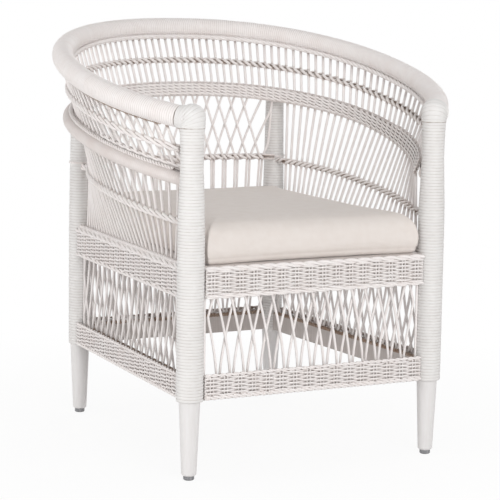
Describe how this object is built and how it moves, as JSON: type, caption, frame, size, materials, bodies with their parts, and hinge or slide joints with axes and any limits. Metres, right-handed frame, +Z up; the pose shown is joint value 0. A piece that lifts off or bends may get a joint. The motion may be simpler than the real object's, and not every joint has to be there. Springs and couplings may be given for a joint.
{
  "type": "outdoor armchair",
  "caption": "Painted woven tub armchair with wrapped legs and sloping arm rail, open strand and lattice panels, woven aprons and a loose seat cushion.",
  "frame": {"origin": "on the floor under the middle of the chair's overall box", "axes": "+Z up, -Y towards the sitter's knees (the front), +X to the viewer's right from the front"},
  "size_m": [0.7202, 0.6814, 0.7896],
  "materials": {
    "painted_pole": "satin",
    "painted_wicker": "satin",
    "glide_plastic": "matte",
    "cushion_cloth": "matte",
    "cushion_foam": "matte"
  },
  "bodies": {
    "chair_frame": {"apron_front": "painted_wicker", "apron_left": "painted_wicker", "apron_rear": "painted_wicker", "apron_right": "painted_wicker", "arm_cap_left": "painted_wicker", "arm_cap_right": "painted_wicker", "back_lattice": "painted_wicker", "back_uprights": "painted_wicker", "base_band_front": "painted_wicker", "base_band_left": "painted_wicker", "base_band_rear": "painted_wicker", "base_band_right": "painted_wicker", "glide_front_left": "glide_plastic", "glide_front_right": "glide_plastic", "glide_rear_left": "glide_plastic", "glide_rear_right": "glide_plastic", "lattice_front": "painted_wicker", "lattice_left": "painted_wicker", "lattice_rear": "painted_wicker", "lattice_right": "painted_wicker", "leg_front_left": "painted_pole", "leg_front_right": "painted_pole", "leg_rear_left": "painted_pole", "leg_rear_right": "painted_pole", "leg_wrap_front_left": "painted_wicker", "leg_wrap_front_right": "painted_wicker", "leg_wrap_rear_left": "painted_wicker", "leg_wrap_rear_right": "painted_wicker", "lower_rail_front": "painted_pole", "lower_rail_left": "painted_pole", "lower_rail_rear": "painted_pole", "lower_rail_right": "painted_pole", "lower_strands_left": "painted_wicker", "lower_strands_right": "painted_wicker", "lower_twine": "painted_wicker", "middle_braid": "painted_wicker", "middle_rail": "painted_pole", "middle_rail_wrap": "painted_wicker", "rail_braid": "painted_wicker", "seat_deck": "painted_wicker", "seat_rail_front": "painted_pole", "seat_rail_left": "painted_pole", "seat_rail_rear": "painted_pole", "seat_rail_right": "painted_pole", "seat_slats": "painted_pole", "top_rail": "painted_pole", "top_rail_wrap": "painted_wicker", "upper_strands_back": "painted_wicker", "upper_strands_left": "painted_wicker", "upper_strands_right": "painted_wicker", "upper_twine": "painted_wicker", "wide_band": "painted_wicker"},
    "seat_cushion": {"cushion_cover": "cushion_cloth", "cushion_foam": "cushion_foam"}
  },
  "joints": [
    {"name": "cushion_slide", "type": "slide", "parent": "chair_frame", "child": "seat_cushion", "axis": [0, -1, 0], "range_m": [0, 0.26]}
  ]
}
